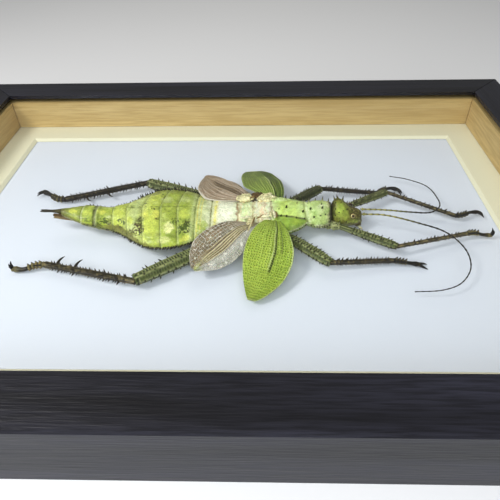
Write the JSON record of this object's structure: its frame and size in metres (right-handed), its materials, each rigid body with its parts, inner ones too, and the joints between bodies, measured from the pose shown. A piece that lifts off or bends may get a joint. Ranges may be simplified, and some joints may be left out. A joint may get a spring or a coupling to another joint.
{
  "type": "jungle nymph stick insect, mounted in a glazed case",
  "caption": "Female jungle nymph stick insect, wings spread, lying on a white card under a cream mat in a shallow black and oak case with a glass front.",
  "frame": {"origin": "middle of the case's back face", "axes": "+X along the case from the insect's tail to its head, +Y towards the insect's left side, +Z out through the glass"},
  "size_m": [0.328, 0.242, 0.0296],
  "materials": {
    "black_wood": "black stain over an open grain, satin",
    "oak": "light oak, fine straight grain, matt",
    "back_board": "brown hardboard, matt",
    "card": "smooth cool white card, matt",
    "mat": "cream mat board, matt, with a white bevel",
    "glass": "clear polished sheet glass",
    "green_body": "lime green dry cuticle with olive blotches, satin",
    "cream_body": "cream to pale green dry cuticle, satin",
    "green_head": "olive green dry cuticle, satin",
    "eye": "dark glossy eye",
    "feeler": "yellow-green darkening to brown, satin",
    "brown_beak": "dark brown cuticle, satin",
    "green_leg": "dark olive green cuticle, satin",
    "brown_leg": "dark brown cuticle, satin",
    "dark_foot": "brown to black cuticle, satin",
    "leaf_wing": "apple green leathery wing with a fine net of veins",
    "grey_wing": "grey-brown membrane with pale veins"
  },
  "bodies": {
    "root": {"abdomen_front": "green_body", "abdomen_middle": "green_body", "abdomen_rear": "green_body", "antenna_left_1": "feeler", "antenna_left_2": "feeler", "antenna_left_3": "feeler", "antenna_right_1": "feeler", "antenna_right_2": "feeler", "antenna_right_3": "feeler", "case_backboard": "back_board", "case_card": "card", "case_glass": "glass", "case_liner_far": "oak", "case_liner_left": "oak", "case_liner_near": "oak", "case_liner_right": "oak", "case_mat": "mat", "case_rail_far": "black_wood", "case_rail_left": "black_wood", "case_rail_near": "black_wood", "case_rail_right": "black_wood", "eye_left": "eye", "eye_right": "eye", "head": "green_head", "hindwing_left": "grey_wing", "hindwing_right": "grey_wing", "leg_fore_left_femur": "green_leg", "leg_fore_left_tarsus": "dark_foot", "leg_fore_left_tibia": "brown_leg", "leg_fore_right_femur": "green_leg", "leg_fore_right_tarsus": "dark_foot", "leg_fore_right_tibia": "brown_leg", "leg_hind_left_femur": "green_leg", "leg_hind_left_tarsus": "dark_foot", "leg_hind_left_tibia": "brown_leg", "leg_hind_right_femur": "green_leg", "leg_hind_right_tarsus": "dark_foot", "leg_hind_right_tibia": "brown_leg", "leg_mid_left_femur": "green_leg", "leg_mid_left_tarsus": "dark_foot", "leg_mid_left_tibia": "brown_leg", "leg_mid_right_femur": "green_leg", "leg_mid_right_tarsus": "dark_foot", "leg_mid_right_tibia": "brown_leg", "mesothorax": "green_body", "metathorax": "cream_body", "ovipositor_lower": "brown_beak", "ovipositor_upper": "brown_beak", "pronotum": "green_body", "tegmen_left": "leaf_wing", "tegmen_right": "leaf_wing"}
  },
  "joints": []
}
